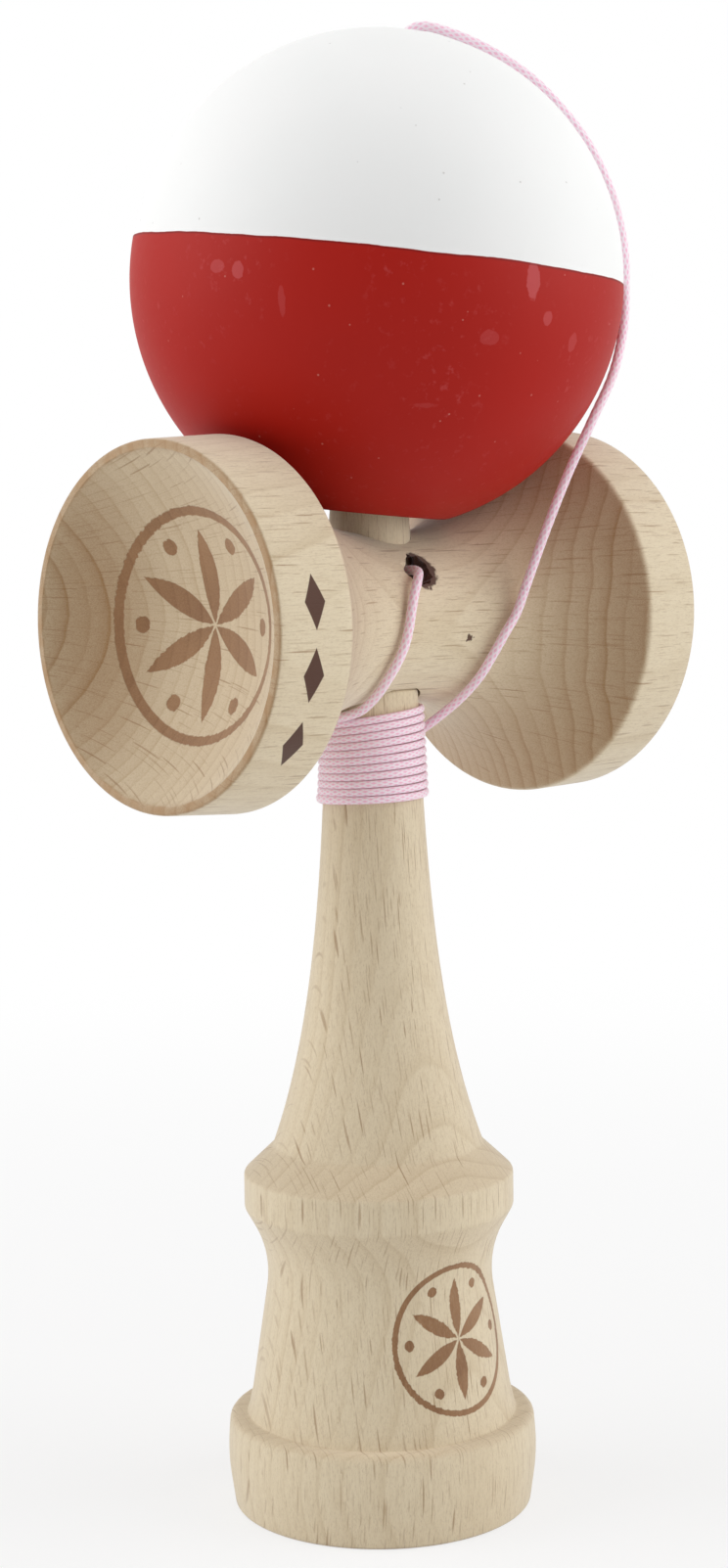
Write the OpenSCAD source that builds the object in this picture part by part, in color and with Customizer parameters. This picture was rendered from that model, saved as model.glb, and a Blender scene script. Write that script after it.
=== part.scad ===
// Kendama: a turned beech stick (ken) with a spike, a turned cross-piece (sarado) with a small and a big
// cup, a bored wooden ball (tama) that sits on the spike, and one braided cord wound round the neck.
// Millimetres, +Z up. The origin is the centre of the rim that the kendama stands on.
// The cross-piece lies along X, with the small cup at -X and the big cup at +X.

/* [Base of the ken] */
// Diameter of the rim that stands on the table
foot_d = 37; // [34:0.5:40]
// Diameter of the base at its bulge
base_d = 38.8; // [37:0.2:46]
// Height of the bulge
bulge_z = 6.2; // [3:0.2:8]
// Share of the bulge's shorter side that its curve takes up
bulge_curve = 0.5; // [0.2:0.05:0.7]
// Diameter of the base's top edge
base_top_d = 38; // [36:0.5:42]
// Height of the base
base_h = 11.5; // [9:0.5:14]
// Mouth diameter of the base cup
base_cup_d = 34; // [28:0.5:35]
// Depth of the base cup
base_cup_depth = 6.5; // [4.5:0.5:9]

/* [Handle of the ken] */
// Diameter of the handle where it stands on the base
heel_d = 33.6; // [32:0.2:36]
// Diameter just above the heel
body_d = 32.2; // [30:0.2:33]
// Height of the heel's curve above the base
heel_h = 3.1; // [2:0.1:5]
// Diameter of the waist, where its two slopes would meet
waist_d = 26.9; // [22:0.5:29]
// Height of the waist
waist_z = 31.8; // [28:0.2:34]
// Share of the waist's shorter slope that its curve takes up
waist_curve = 0.66; // [0.3:0.02:0.8]
// Diameter of the collar
collar_d = 33.5; // [30:0.5:38]
// Height of the collar's lower edge
collar_z = 37.7; // [36:0.1:40]
// Height of the collar's straight band
collar_h = 4.2; // [3:0.1:6]
// Height of the slope above the collar
slope_h = 3.5; // [2.5:0.1:5]
// Diameter where the flare begins, at the top of that slope
flare_d = 26.1; // [22:0.1:28]
// Length over which the flare thins by a factor of e
flare_fall = 22.3; // [15:0.1:35]
// Diameter of the neck at the shoulder
neck_d = 11.3; // [11:0.1:14]
// Height of the shoulder that carries the cross-piece
shoulder_z = 101.9; // [95:0.1:115]

/* [Spike of the ken] */
// Diameter of the spike where the cross-piece slides over it
spike_d = 10; // [8:0.1:10.2]
// Length of the spike above the shoulder
spike_len = 50.1; // [40:0.1:52]
// Diameter of the spike's tip
spike_tip_d = 4.8; // [3:0.1:6]

/* [Cross-piece] */
// Distance from the spike's axis to the small cup's rim
small_x = 34.7; // [32:0.1:38]
// Diameter of the small cup at its rim
small_d = 42.7; // [38:0.1:46]
// Diameter of the small cup's inner edge
small_edge_d = 44; // [38:0.1:46]
// Width of the small cup's band
small_band = 10.3; // [8:0.1:12]
// Mouth diameter of the small cup
small_mouth_d = 40.7; // [34:0.1:41]
// Depth of the small cup
small_depth = 9.5; // [6:0.1:11]
// Distance from the spike's axis to the big cup's rim
big_x = 34.4; // [32:0.1:38]
// Diameter of the big cup at its rim
big_d = 46; // [42:0.1:50]
// Diameter of the big cup's inner edge
big_edge_d = 46.4; // [42:0.1:50]
// Width of the big cup's band
big_band = 8.9; // [7:0.1:11]
// Mouth diameter of the big cup
big_mouth_d = 43.8; // [36:0.1:44.2]
// Depth of the big cup
big_depth = 10.5; // [7:0.1:12]
// Radius on the inner edge of both cups
edge_round = 1; // [0.4:0.1:1.5]
// Diameter of the cross-piece at its waist
cross_waist_d = 20.4; // [18:0.1:24]
// Distance of that waist from the spike's axis
cross_waist_x = 2.1; // [0:0.1:7]
// Power of the curve that each flank follows from the waist to its cup's inner edge
flank_power = 2.6; // [2:0.1:3]
// Depth to which the ken's shoulder sinks into the cross-piece
seat_depth = 1.62; // [0.8:0.02:2]
// Diameter of the cord hole
cord_hole_d = 3.6; // [2.8:0.1:4.4]
// Height of the cord hole above the middle of the cross-piece
cord_hole_rise = 5.8; // [4:0.1:6.2]

/* [Ball] */
// Diameter of the ball
tama_d = 59.5; // [55:0.5:62]
// Distance from the ball's middle to the flat round its bore
tama_flat = 27.5; // [26:0.1:28.5]
// Diameter of the bore
tama_bore_d = 21.5; // [18:0.1:23]
// Point angle of the bore's end
tama_bore_point = 118; // [90:2:140]
// Chamfer of the bore's mouth
tama_bore_chamfer = 0.6; // [0.2:0.1:0.8]
// Diameter of the ball's cord hole
tama_hole_d = 3; // [2.4:0.1:4]
// Diameter of the countersink at the top of the cord hole
tama_sink_d = 6; // [4.5:0.1:8]
// Lean of the ball on the spike, in degrees
tama_lean = 6.7; // [0:0.1:8]
// Direction of the lean round Z, in degrees
tama_lean_side = -60; // [-90:1:-30]
// Offset of the ball's middle from the spike's axis, along X and Y
tama_offset = [1, -0.9]; // [-2:0.1:2]

/* [Cord] */
// Diameter of the braided cord
cord_d = 1.2; // [0.8:0.1:1.6]
// Diameter of the tube that stands for the tightly drawn cord in the winding
wind_d = 0.5; // [0.4:0.05:0.55]
// Whole turns of the winding
wind_turns = 11; // [6:1:14]
// Height of one turn
wind_pitch = 0.96; // [0.95:0.01:1.2]
// Distance from the shoulder down to the first turn
wind_drop = 2.7; // [2.4:0.05:4]
// Tilt of the first turn and of the last one, as a rise to the right of the photographed side
wind_tilt = [0.77, 0.05]; // [0:0.01:1]
// Diameter of the bead inside the ball
bead_d = 6.4; // [5:0.1:8]
// Diameter of the bead's hole
bead_hole_d = 1.9; // [1.4:0.1:2.5]
// Diameter of both knots
knot_d = 2.8; // [2:0.1:3.2]
// Length of both knots
knot_len = 2.4; // [1.6:0.1:3]

/* [Clearances] */
// Radial clearance of the spike in the cross-piece
spike_fit = 0.05; // [0.02:0.01:0.1]
// Radial clearance round the shoulder's seat
seat_clear = 0.3; // [0.1:0.05:0.6]
// Gap between the ball and the cup edge that it rests on
tama_gap = 0.2; // [0.15:0.05:0.6]
// Gap between the winding and the neck
wind_gap = 0.12; // [0.05:0.01:0.3]
// Gap between the turns and the stretch that crosses over them
cross_gap = 0.45; // [0.42:0.01:0.8]
// Gap round the bead, and between bead, knot and what they bear on
bead_gap = 0.25; // [0.1:0.05:0.5]
// Room between the spike's tip and the bead's knot
tip_room = 1.2; // [0.6:0.1:3]

/* [Hidden] */
$fn = 96;
wood = [0.82, 0.73, 0.58];
pink = [0.95, 0.72, 0.78];
curve_steps = 10;
flank_steps = 22;
flare_steps = 26;
cut = 1;

// Points of an outline: a corner [x, y, radius] is rounded, and a radius of 0 keeps it sharp
function unit(v) = v / norm(v);
function flat_point(p) = [p.x, p.y];
function corner_centre(a, b, c, r) =
    let (u = unit(a - b), v = unit(c - b))
    b + unit(u + v) * r / sin(acos(u * v) / 2);
function corner_arc(a, b, c, r) =
    let (
        u = unit(a - b),
        v = unit(c - b),
        reach = r / tan(acos(u * v) / 2),
        centre = corner_centre(a, b, c, r),
        first = b + u * reach - centre,
        last = b + v * reach - centre,
        start = atan2(first.y, first.x),
        turn = (atan2(last.y, last.x) - start + 540) % 360 - 180
    )
    [
        for (i = [0:curve_steps])
            let (a = start + turn * i / curve_steps)
            centre + r * [cos(a), sin(a)]
    ];
function corner_round(a, b, c, share) =
    share * min(norm(a - b), norm(c - b)) * tan(acos(unit(a - b) * unit(c - b)) / 2);
function outline(p) = [
    for (i = [0:len(p) - 1])
        each p[i][2] == 0
            ? [flat_point(p[i])]
            : corner_arc(flat_point(p[i - 1]), flat_point(p[i]), flat_point(p[i + 1]), p[i][2])
];

// A bowl of a given mouth radius and depth is part of a sphere of this radius
function bowl_r(mouth, depth) = (mouth * mouth + depth * depth) / (2 * depth);

// The flare thins along an exponential curve from the slope above the collar to the shoulder
flare_z = collar_z + collar_h + slope_h;
flare_end = exp(-(shoulder_z - flare_z) / flare_fall);
function neck_r(z) =
    neck_d / 2 + (flare_d - neck_d) / 2 * (exp(-(z - flare_z) / flare_fall) - flare_end) / (1 - flare_end);

foot_round = 0.5;
base_round = 1;
crease_round = 0.3;
heel_round = 4;
collar_low_round = 1.2;
collar_top_round = 0.7;
slope_round = 3;
shoulder_round = 0.5;
spike_round = 40;
tip_round = 2;
spike_straight = 19.1;
tip_z = shoulder_z + spike_len;

foot_edge = [foot_d / 2, 0];
bulge = [base_d / 2, bulge_z];
base_edge = [base_top_d / 2, base_h];
body_foot = [body_d / 2, base_h + heel_h];
waist = [waist_d / 2, waist_z];
collar_edge = [collar_d / 2, collar_z];

ken_outline = outline(concat(
    [
        [0, 0, 0],
        [foot_edge.x, foot_edge.y, foot_round],
        [bulge.x, bulge.y, corner_round(foot_edge, bulge, base_edge, bulge_curve)],
        [base_edge.x, base_edge.y, base_round],
        [heel_d / 2, base_h, crease_round],
        [body_foot.x, body_foot.y, heel_round],
        [waist.x, waist.y, corner_round(body_foot, waist, collar_edge, waist_curve)],
        [collar_edge.x, collar_edge.y, collar_low_round],
        [collar_d / 2, collar_z + collar_h, collar_top_round],
        [flare_d / 2, flare_z, slope_round]
    ],
    [
        for (i = [1:flare_steps])
            let (z = flare_z + (shoulder_z - flare_z) * i / flare_steps)
            [neck_r(z), z, i == flare_steps ? shoulder_round : 0]
    ],
    [
        [spike_d / 2, shoulder_z, 0],
        [spike_d / 2, shoulder_z + spike_straight, spike_round],
        [spike_tip_d / 2, tip_z, tip_round],
        [0, tip_z, 0]
    ]
));

// Cross-piece: each flank is a power curve that leaves the waist level and ends at its cup's inner edge
rim_round = 0.4;
cross_waist_r = cross_waist_d / 2;
small_edge_x = -small_x + small_band;
big_edge_x = big_x - big_band;
function cross_r(x) =
    let (edge = x < cross_waist_x ? [small_edge_d / 2, small_edge_x] : [big_edge_d / 2, big_edge_x])
    cross_waist_r
        + (edge[0] - cross_waist_r) * pow((x - cross_waist_x) / (edge[1] - cross_waist_x), flank_power);
function flank_point(x) = [cross_r(x), x, 0];
small_flank_points = [
    for (i = [1:flank_steps])
        flank_point(small_edge_x + (cross_waist_x - small_edge_x) * i / flank_steps)
];
big_flank_points = [
    for (i = [1:flank_steps - 1])
        flank_point(cross_waist_x + (big_edge_x - cross_waist_x) * i / flank_steps)
];
cross_outline = outline(concat(
    [
        [0, -small_x, 0],
        [small_d / 2, -small_x, rim_round],
        [small_edge_d / 2, small_edge_x, edge_round]
    ],
    small_flank_points,
    big_flank_points,
    [
        [big_edge_d / 2, big_edge_x, edge_round],
        [big_d / 2, big_x, rim_round],
        [0, big_x, 0]
    ]
));
sarado_z = shoulder_z + cross_r(0) - seat_depth;
cord_z = sarado_z + cord_hole_rise;

// The ball rests on the rounded inner edge of whichever cup it meets first, or on a flank if it is small
big_edge = corner_centre(
    flat_point(big_flank_points[flank_steps - 2]),
    [big_edge_d / 2, big_edge_x],
    [big_d / 2, big_x],
    edge_round
);
small_edge = corner_centre(
    [small_d / 2, -small_x],
    [small_edge_d / 2, small_edge_x],
    flat_point(small_flank_points[0]),
    edge_round
);
rest_r = tama_d / 2 + edge_round + tama_gap;
function rest_height(edge) =
    let (radial = edge.x + sqrt(rest_r * rest_r - pow(edge.y - tama_offset.x, 2)))
    sqrt(radial * radial - tama_offset.y * tama_offset.y);
flank_reach = tama_d / 2 + tama_gap;
rest_flank = max([
    for (p = concat(small_flank_points, big_flank_points))
        let (off = p.y - tama_offset.x)
        abs(off) < flank_reach ? p.x + sqrt(flank_reach * flank_reach - off * off) : 0
]);
tama_z = sarado_z + max(rest_height(big_edge), rest_height(small_edge), rest_flank);
tama_centre = [tama_offset.x, tama_offset.y, tama_z];
tama_axis = [
    sin(tama_lean) * cos(tama_lean_side),
    sin(tama_lean) * sin(tama_lean_side),
    cos(tama_lean)
];
function on_tama_axis(k) = tama_centre + k * tama_axis;

// Along the ball's axis, from its middle: the knot clears the spike's tip, the bead sits on the knot,
// and the bore's pointed end closes over the bead
knot_low = (tip_z - tama_z) / tama_axis.z + tip_room;
knot_top = knot_low + knot_len;
bead_mid = knot_top + bead_gap + bead_d / 2;
bore_end = bead_mid + (bead_d / 2 + bead_gap) / sin(tama_bore_point / 2);
bore_shoulder = bore_end - tama_bore_d / 2 / tan(tama_bore_point / 2);

// Winding: the turns run clockwise seen from above and go down the neck, then the last stretch crosses
// over them behind the neck and leaves to the right
loop_steps = 24;
first_angle = 180;
right_angle = -45;
last_angle = 115;
leave_angle = 21;
cross_rise = 5.35;
cross_power = 2.6;
cross_climb = 0.35;
cross_steps = 14;
lead_in = 0.35;
lead_in_share = 0.5;
wind_end = wind_turns + (first_angle - last_angle) / 360;
function ease(t) = t * t * (3 - 2 * t);
function turn_angle(u) = first_angle - 360 * u;
function turn_tilt(u) = wind_tilt[0] + (wind_tilt[1] - wind_tilt[0]) * u / wind_end;
function turn_z(u) = shoulder_z - wind_drop - wind_pitch * u + turn_tilt(u) * cos(turn_angle(u) - right_angle);
function turn_r(u) =
    neck_r(turn_z(u)) + wind_gap + wind_d / 2 + lead_in * pow(max(0, 1 - u / lead_in_share), 2);
function polar(r, a, z) = [r * cos(a), r * sin(a), z];
function turn_point(u) = polar(turn_r(u), turn_angle(u), turn_z(u));
function cross_point(s) =
    let (
        z = turn_z(wind_end) + cross_rise * pow(s, cross_power),
        climb = (wind_d + cross_gap) * ease(min(1, s / cross_climb))
    )
    polar(
        neck_r(z) + wind_gap + wind_d / 2 + climb,
        last_angle + (leave_angle - last_angle) * s,
        z
    );
turns = [for (i = [0:round(wind_end * loop_steps)]) turn_point(wind_end * i / round(wind_end * loop_steps))];
crossing = [for (i = [1:cross_steps]) cross_point(i / cross_steps)];
wind_core = concat(turns, crossing);
wind_last = len(wind_core) - 1;
wind_start_way = unit(wind_core[1] - wind_core[0]);
wind_end_way = unit(wind_core[wind_last] - wind_core[wind_last - 1]);
wind_straight = 0.6;
wind_path = concat(
    [wind_core[0] - wind_straight * wind_start_way],
    wind_core,
    [wind_core[wind_last] + wind_straight * wind_end_way]
);
function least_gap(p, skip) =
    min([for (i = [0:len(p) - 1]) for (j = [i + skip:1:len(p) - 1]) norm(p[i] - p[j])]);
echo(winding_least_gap = least_gap(wind_path, loop_steps / 2) - wind_d);

// Cord route, chosen by hand where the cord lies free
knot_y = spike_d / 2 + bead_gap;
straight_end = 1.4;
lead_route = [
    [0, knot_y, cord_z],
    [0, 0, cord_z],
    [0, -5.5, cord_z],
    [-0.75, -8.8, 116.2],
    [-2.4, -10.5, 115.2],
    [-3.5, -11, 113.5],
    [-4.3, -11.3, 111.6],
    [-4.9, -11.4, 109.5],
    [-5.5, -11.15, 107.3],
    [-6.2, -10.45, 105.2],
    [-6.6, -9.5, 103.6],
    [-6.7, -8.2, 102.1],
    [-6.5, -6.5, 100.8],
    [-6.3, -4.4, 99.6],
    wind_path[0] - straight_end * wind_start_way,
    wind_path[0]
];
run_route = [
    wind_path[len(wind_path) - 1],
    wind_path[len(wind_path) - 1] + straight_end * wind_end_way,
    [8, -0.6, 96.3],
    [9, -3.8, 98.6],
    [9.3, -6.8, 100.8],
    [9.6, -9.3, 103.2],
    [10.1, -11, 105.8],
    [10.9, -12.2, 108.3],
    [12.44, -12.81, 110.88],
    [13.1, -13.6, 113.7]
];
over_route = [
    [13.1, -13.6, 113.7],
    [14.7, -15.5, 120.5],
    [16.4, -17.7, 127.4],
    [18.3, -20, 133.8],
    [21.2, -20.7, 139],
    [23.5, -20.3, 143.4],
    [24.8, -19.8, 147],
    [25.4, -19.4, 150.4],
    [25.2, -19.5, 153.8],
    [24.7, -19.3, 157.2],
    [23.4, -18.7, 162],
    [20.9, -17, 167.8],
    [17.4, -14.3, 173.1],
    [14, -12, 176.4],
    [9.9, -9.2, 179.1],
    [5.9, -6.3, 180.8],
    [3.9, -4.8, 180.7],
    on_tama_axis(28),
    on_tama_axis(22),
    on_tama_axis(bore_end),
    on_tama_axis(knot_top)
];

// A smooth curve through the points of a route
route_steps = 2;
function spline(a, b, c, d, t) =
    0.5 * (2 * b + (c - a) * t + (2 * a - 5 * b + 4 * c - d) * t * t + (3 * b - a - 3 * c + d) * t * t * t);
function smooth_route(p) = concat(
    [
        for (i = [0:len(p) - 2])
            for (j = [0:route_steps - 1])
                spline(p[max(i - 1, 0)], p[i], p[i + 1], p[min(i + 2, len(p) - 1)], j / route_steps)
    ],
    [p[len(p) - 1]]
);

// A tube of flat triangles along a path; side is a direction that the path never takes
module tube(path, d, sides, side) {
    n = len(path);
    points = [
        for (i = [0:n - 1])
            let (
                way = unit(path[min(i + 1, n - 1)] - path[max(i - 1, 0)]),
                across = unit(cross(way, side)),
                up = cross(across, way)
            )
            for (k = [0:sides - 1])
                path[i] + d / 2 * (cos(360 * k / sides) * across + sin(360 * k / sides) * up)
    ];
    walls = [
        for (i = [0:n - 2])
            for (k = [0:sides - 1])
                let (a = i * sides + k, b = i * sides + (k + 1) % sides)
                each [[a, b, a + sides], [b, b + sides, a + sides]]
    ];
    last = (n - 1) * sides;
    ends = [for (k = [1:sides - 2]) each [[0, k + 1, k], [last, last + k, last + k + 1]]];
    polyhedron(points = points, faces = concat(walls, ends));
}

module along_tama() {
    translate(tama_centre)
        rotate([0, tama_lean, tama_lean_side])
            children();
}

module bowl(mouth, depth) {
    translate([0, 0, depth - bowl_r(mouth, depth)])
        sphere(r = bowl_r(mouth, depth));
}

module cord_drill(d, reach) {
    translate([0, 0, cord_z])
        rotate([90, 0, 0])
            cylinder(d = d, h = 2 * reach, center = true);
}

// Ken: one turned piece with the base cup, the handle, the neck and the spike
module ken() {
    color(wood)
        difference() {
            rotate_extrude() polygon(ken_outline);
            bowl(base_cup_d / 2, base_cup_depth);
            cord_drill(cord_d * 2, spike_d);
        }
}

// Sarado: one turned piece with two cups, slid down the spike onto the ken's shoulder
module sarado() {
    color(wood)
        difference() {
            translate([0, 0, sarado_z])
                rotate([0, 90, 0])
                    difference() {
                        rotate_extrude() polygon(cross_outline);
                        translate([0, 0, -small_x]) bowl(small_mouth_d / 2, small_depth);
                        translate([0, 0, big_x]) mirror([0, 0, 1]) bowl(big_mouth_d / 2, big_depth);
                    }
            translate([0, 0, sarado_z - big_d])
                cylinder(d = spike_d + 2 * spike_fit, h = 2 * big_d);
            translate([0, 0, sarado_z - big_d])
                cylinder(d = neck_d + 2 * seat_clear, h = shoulder_z - sarado_z + big_d);
            cord_drill(cord_hole_d, cross_waist_d);
        }
}

// Tama: the painted ball, with the wide bore for the spike and the small hole for the cord
module tama() {
    color("firebrick")
        along_tama()
            difference() {
                sphere(d = tama_d);
                translate([0, 0, -tama_d - tama_flat])
                    cylinder(d = tama_d, h = tama_d);
                translate([0, 0, -tama_flat - cut])
                    cylinder(d = tama_bore_d, h = bore_shoulder + tama_flat + cut);
                translate([0, 0, -tama_flat - cut])
                    cylinder(
                        d1 = tama_bore_d + 2 * (tama_bore_chamfer + cut),
                        d2 = tama_bore_d,
                        h = tama_bore_chamfer + cut
                    );
                translate([0, 0, bore_shoulder])
                    cylinder(d1 = tama_bore_d, d2 = 0, h = bore_end - bore_shoulder);
                translate([0, 0, bore_end - tama_hole_d])
                    cylinder(d = tama_hole_d, h = tama_d);
                translate([0, 0, tama_d / 2 - tama_sink_d / 2])
                    cylinder(d1 = 0, d2 = 2 * tama_sink_d, h = tama_sink_d);
            }
}

module knot() {
    rotate_extrude()
        polygon(outline([
            [0, 0, 0],
            [knot_d / 2, 0, knot_d / 5],
            [knot_d / 2, knot_len, knot_d / 5],
            [0, knot_len, 0]
        ]));
}

// Anchor knot: the cord's first end, drawn against the spike in the far half of the cord hole
module string_anchor_knot() {
    color(pink)
        translate([0, knot_y, cord_z])
            rotate([-90, 0, 0])
                knot();
}

// Lead: through the spike, out of the cross-piece and down to the winding
module string_lead() {
    color(pink) tube(smooth_route(lead_route), cord_d, 8, [1, 0, 0]);
}

// Winding: the turns round the neck, one unbroken tube
module string_winding() {
    color(pink) tube(wind_path, wind_d, 6, [0, 0, 1]);
}

// Run: from behind the neck round the cross-piece's flank
module string_run() {
    color(pink) tube(smooth_route(run_route), cord_d, 8, [1, 1, 0]);
}

// Upper run: up to the ball, over it, in at its top and through the bead
module string_over_tama() {
    color(pink) tube(smooth_route(over_route), cord_d, 8, [1, 1, 0]);
}

// Bead: keeps the cord's second knot from pulling through the ball
module string_bead() {
    color(wood)
        along_tama()
            translate([0, 0, bead_mid])
                difference() {
                    sphere(d = bead_d);
                    cylinder(d = bead_hole_d, h = 2 * bead_d, center = true);
                }
}

// Bead knot: the cord's second end, under the bead
module string_bead_knot() {
    color(pink)
        along_tama()
            translate([0, 0, knot_low])
                knot();
}

ken();
sarado();
tama();
string_anchor_knot();
string_lead();
string_winding();
string_run();
string_over_tama();
string_bead();
string_bead_knot();
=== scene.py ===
import math

import bmesh
import bpy
import numpy as np
from mathutils import Matrix, Vector, noise


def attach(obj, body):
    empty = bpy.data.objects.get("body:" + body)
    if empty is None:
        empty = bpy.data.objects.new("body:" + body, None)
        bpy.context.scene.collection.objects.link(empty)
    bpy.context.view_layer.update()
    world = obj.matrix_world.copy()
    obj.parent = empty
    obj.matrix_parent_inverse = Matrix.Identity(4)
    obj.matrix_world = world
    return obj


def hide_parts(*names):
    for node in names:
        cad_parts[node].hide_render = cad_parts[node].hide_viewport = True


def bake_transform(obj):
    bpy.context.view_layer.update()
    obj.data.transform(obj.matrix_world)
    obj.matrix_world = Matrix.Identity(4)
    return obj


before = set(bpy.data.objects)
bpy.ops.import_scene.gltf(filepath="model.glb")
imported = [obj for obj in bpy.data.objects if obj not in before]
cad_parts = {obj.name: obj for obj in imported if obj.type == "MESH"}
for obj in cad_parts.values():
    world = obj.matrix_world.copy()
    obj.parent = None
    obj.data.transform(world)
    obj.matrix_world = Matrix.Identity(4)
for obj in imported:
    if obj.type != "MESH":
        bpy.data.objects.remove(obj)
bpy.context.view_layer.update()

# The ken: the stick, turned from one piece of beech between centres, with the base cup, a waisted handle,
# a collar, a long flare and the spike. A cross hole in the spike takes the cord.

MM = 0.001
FOOT_R, BULGE_R, BASE_TOP_R = 18.5, 19.4, 19.0
BULGE_Z, BASE_H = 6.2, 11.5
BULGE_SHARE, WAIST_SHARE = 0.5, 0.66
HEEL_R, BODY_R, BODY_Z = 16.8, 16.1, 14.6
WAIST_R, WAIST_Z = 13.45, 31.8
COLLAR_R, COLLAR_LOW, COLLAR_TOP = 16.75, 37.7, 41.9
FLARE_R, FLARE_Z, FLARE_FALL = 13.05, 45.4, 22.3
NECK_R, SHOULDER_Z = 5.65, 101.9
SPIKE_R, SPIKE_TAPER_Z, TIP_R, TIP_Z = 5.0, 121.0, 2.4, 152.0
BASE_CUP_R, BASE_CUP_DEPTH = 17.0, 6.5
FOOT_ROUND, BASE_ROUND, HEEL_ROUND, BODY_ROUND, COLLAR_ROUND = 0.5, 1.0, 0.3, 4.0, (1.2, 0.7)
FLARE_ROUND, SHOULDER_ROUND, TAPER_ROUND, TIP_ROUND = 1.5, 0.5, 40.0, 2.0
CORD_Z = 116.296


def neck_r(z):
    """Radius of the ken's flare at a height, in millimetres."""
    end = math.exp(-(SHOULDER_Z - FLARE_Z) / FLARE_FALL)
    fall = math.exp(-(z - FLARE_Z) / FLARE_FALL)
    return NECK_R + (FLARE_R - NECK_R) * (fall - end) / (1 - end)


def corner_round(a, b, c, share):
    """Rounding of corner b that takes up a share of its shorter side."""
    a, b, c = (Vector(p[:2]) for p in (a, b, c))
    half = (a - b).angle(c - b) / 2
    return share * min((a - b).length, (c - b).length) * math.tan(half)


def rounded(corners, arc_step=0.35, side_step=1.4, same=1e-4):
    """Outline through (radius, height, rounding) corners, with long sides divided into short steps."""
    points = []
    for i, (x, y, r) in enumerate(corners):
        b = Vector((x, y))
        if r == 0:
            points.append(b)
            continue
        u = (Vector(corners[i - 1][:2]) - b).normalized()
        v = (Vector(corners[i + 1][:2]) - b).normalized()
        half = u.angle(v) / 2
        centre = b + (u + v).normalized() * r / math.sin(half)
        first = b + u * r / math.tan(half) - centre
        last = b + v * r / math.tan(half) - centre
        turn = math.atan2(first.x * last.y - first.y * last.x, first.dot(last))
        count = max(4, round(abs(turn) * r / arc_step))
        for k in range(count + 1):
            points.append(centre + Matrix.Rotation(turn * k / count, 2) @ first)
    line = [points[0]]
    for p in points[1:]:
        gap = (p - line[-1]).length
        if gap < same:
            continue
        pieces = max(1, round(gap / side_step))
        start = line[-1]
        line += [start.lerp(p, (k + 1) / pieces) for k in range(pieces)]
    return line


def bowl(mouth, depth, count=40):
    """Points of a hollow from its middle out to its mouth: (radius, depth below the mouth)."""
    r = (mouth * mouth + depth * depth) / (2 * depth)
    full = math.asin(mouth / r)
    return [
        (r * math.sin(full * k / count), depth - r + r * math.cos(full * k / count))
        for k in range(count + 1)
    ]


WELD, SHARP_ANGLE = 2e-6, math.radians(40)


def turning_tree():
    """Geometry Nodes that spin an outline round Z, weld it, and put it in its place."""
    tree = bpy.data.node_groups.new("turned_piece", "GeometryNodeTree")
    made = {}
    for label, kind in (
        ("Outline", "NodeSocketGeometry"),
        ("Sides", "NodeSocketInt"),
        ("Turn", "NodeSocketVector"),
        ("Place", "NodeSocketVector"),
        ("Sharp Angle", "NodeSocketFloat"),
        ("Finish", "NodeSocketMaterial"),
    ):
        made[label] = tree.interface.new_socket(label, in_out="INPUT", socket_type=kind).identifier
    tree.interface.new_socket("Piece", in_out="OUTPUT", socket_type="NodeSocketGeometry")
    group = tree.nodes.new("NodeGroupInput").outputs

    def add(kind, settings=None, links=None):
        node = tree.nodes.new(kind)
        for key, value in (settings or {}).items():
            setattr(node, key, value)
        for key, value in (links or {}).items():
            if isinstance(value, bpy.types.NodeSocket):
                tree.links.new(value, node.inputs[key])
            else:
                node.inputs[key].default_value = value
        return node.outputs

    def maths(operation, a, b):
        return add("ShaderNodeMath", {"operation": operation}, {0: a, 1: b})[0]

    count = add("GeometryNodeAttributeDomainSize", None, {0: group["Outline"]})["Point Count"]
    columns = maths("ADD", group["Sides"], 1.0)
    grid = add("GeometryNodeMeshGrid", None, {"Vertices X": columns, "Vertices Y": count})["Mesh"]
    index = add("GeometryNodeInputIndex")[0]
    row = maths("MODULO", index, count)
    column = maths("FLOOR", maths("DIVIDE", maths("ADD", index, 0.5), count), 0.0)
    angle = maths("MULTIPLY", maths("DIVIDE", column, group["Sides"]), math.tau)
    place = add(
        "GeometryNodeSampleIndex",
        {"data_type": "FLOAT_VECTOR"},
        {0: group["Outline"], "Value": add("GeometryNodeInputPosition")[0], "Index": row},
    )[0]
    part = add("ShaderNodeSeparateXYZ", None, {0: place})
    spun = add("ShaderNodeCombineXYZ", None, {
        0: maths("MULTIPLY", part[0], maths("COSINE", angle, 0.0)),
        1: maths("MULTIPLY", part[0], maths("SINE", angle, 0.0)),
        2: part[2],
    })[0]
    shell = add("GeometryNodeSetPosition", None, {"Geometry": grid, "Position": spun})[0]
    shell = add("GeometryNodeMergeByDistance", None, {"Geometry": shell, "Distance": WELD})[0]
    shell = add("GeometryNodeSetShadeSmooth", {"domain": "FACE"}, {"Geometry": shell})[0]
    fold = maths("GREATER_THAN", add("GeometryNodeInputMeshEdgeAngle")[0], group["Sharp Angle"])
    shell = add(
        "GeometryNodeSetShadeSmooth",
        {"domain": "EDGE"},
        {"Geometry": shell, "Selection": fold, "Shade Smooth": False},
    )[0]
    shell = add("GeometryNodeTransform", None, {
        "Geometry": shell, "Rotation": group["Turn"], "Translation": group["Place"],
    })[0]
    shell = add("GeometryNodeRealizeInstances", None, {"Geometry": shell})[0]
    shell = add("GeometryNodeSetMaterial", None, {"Geometry": shell, "Material": group["Finish"]})[0]
    tree.links.new(shell, tree.nodes.new("NodeGroupOutput").inputs[0])
    return tree, made


turned_piece, turned_inputs = turning_tree()


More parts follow.
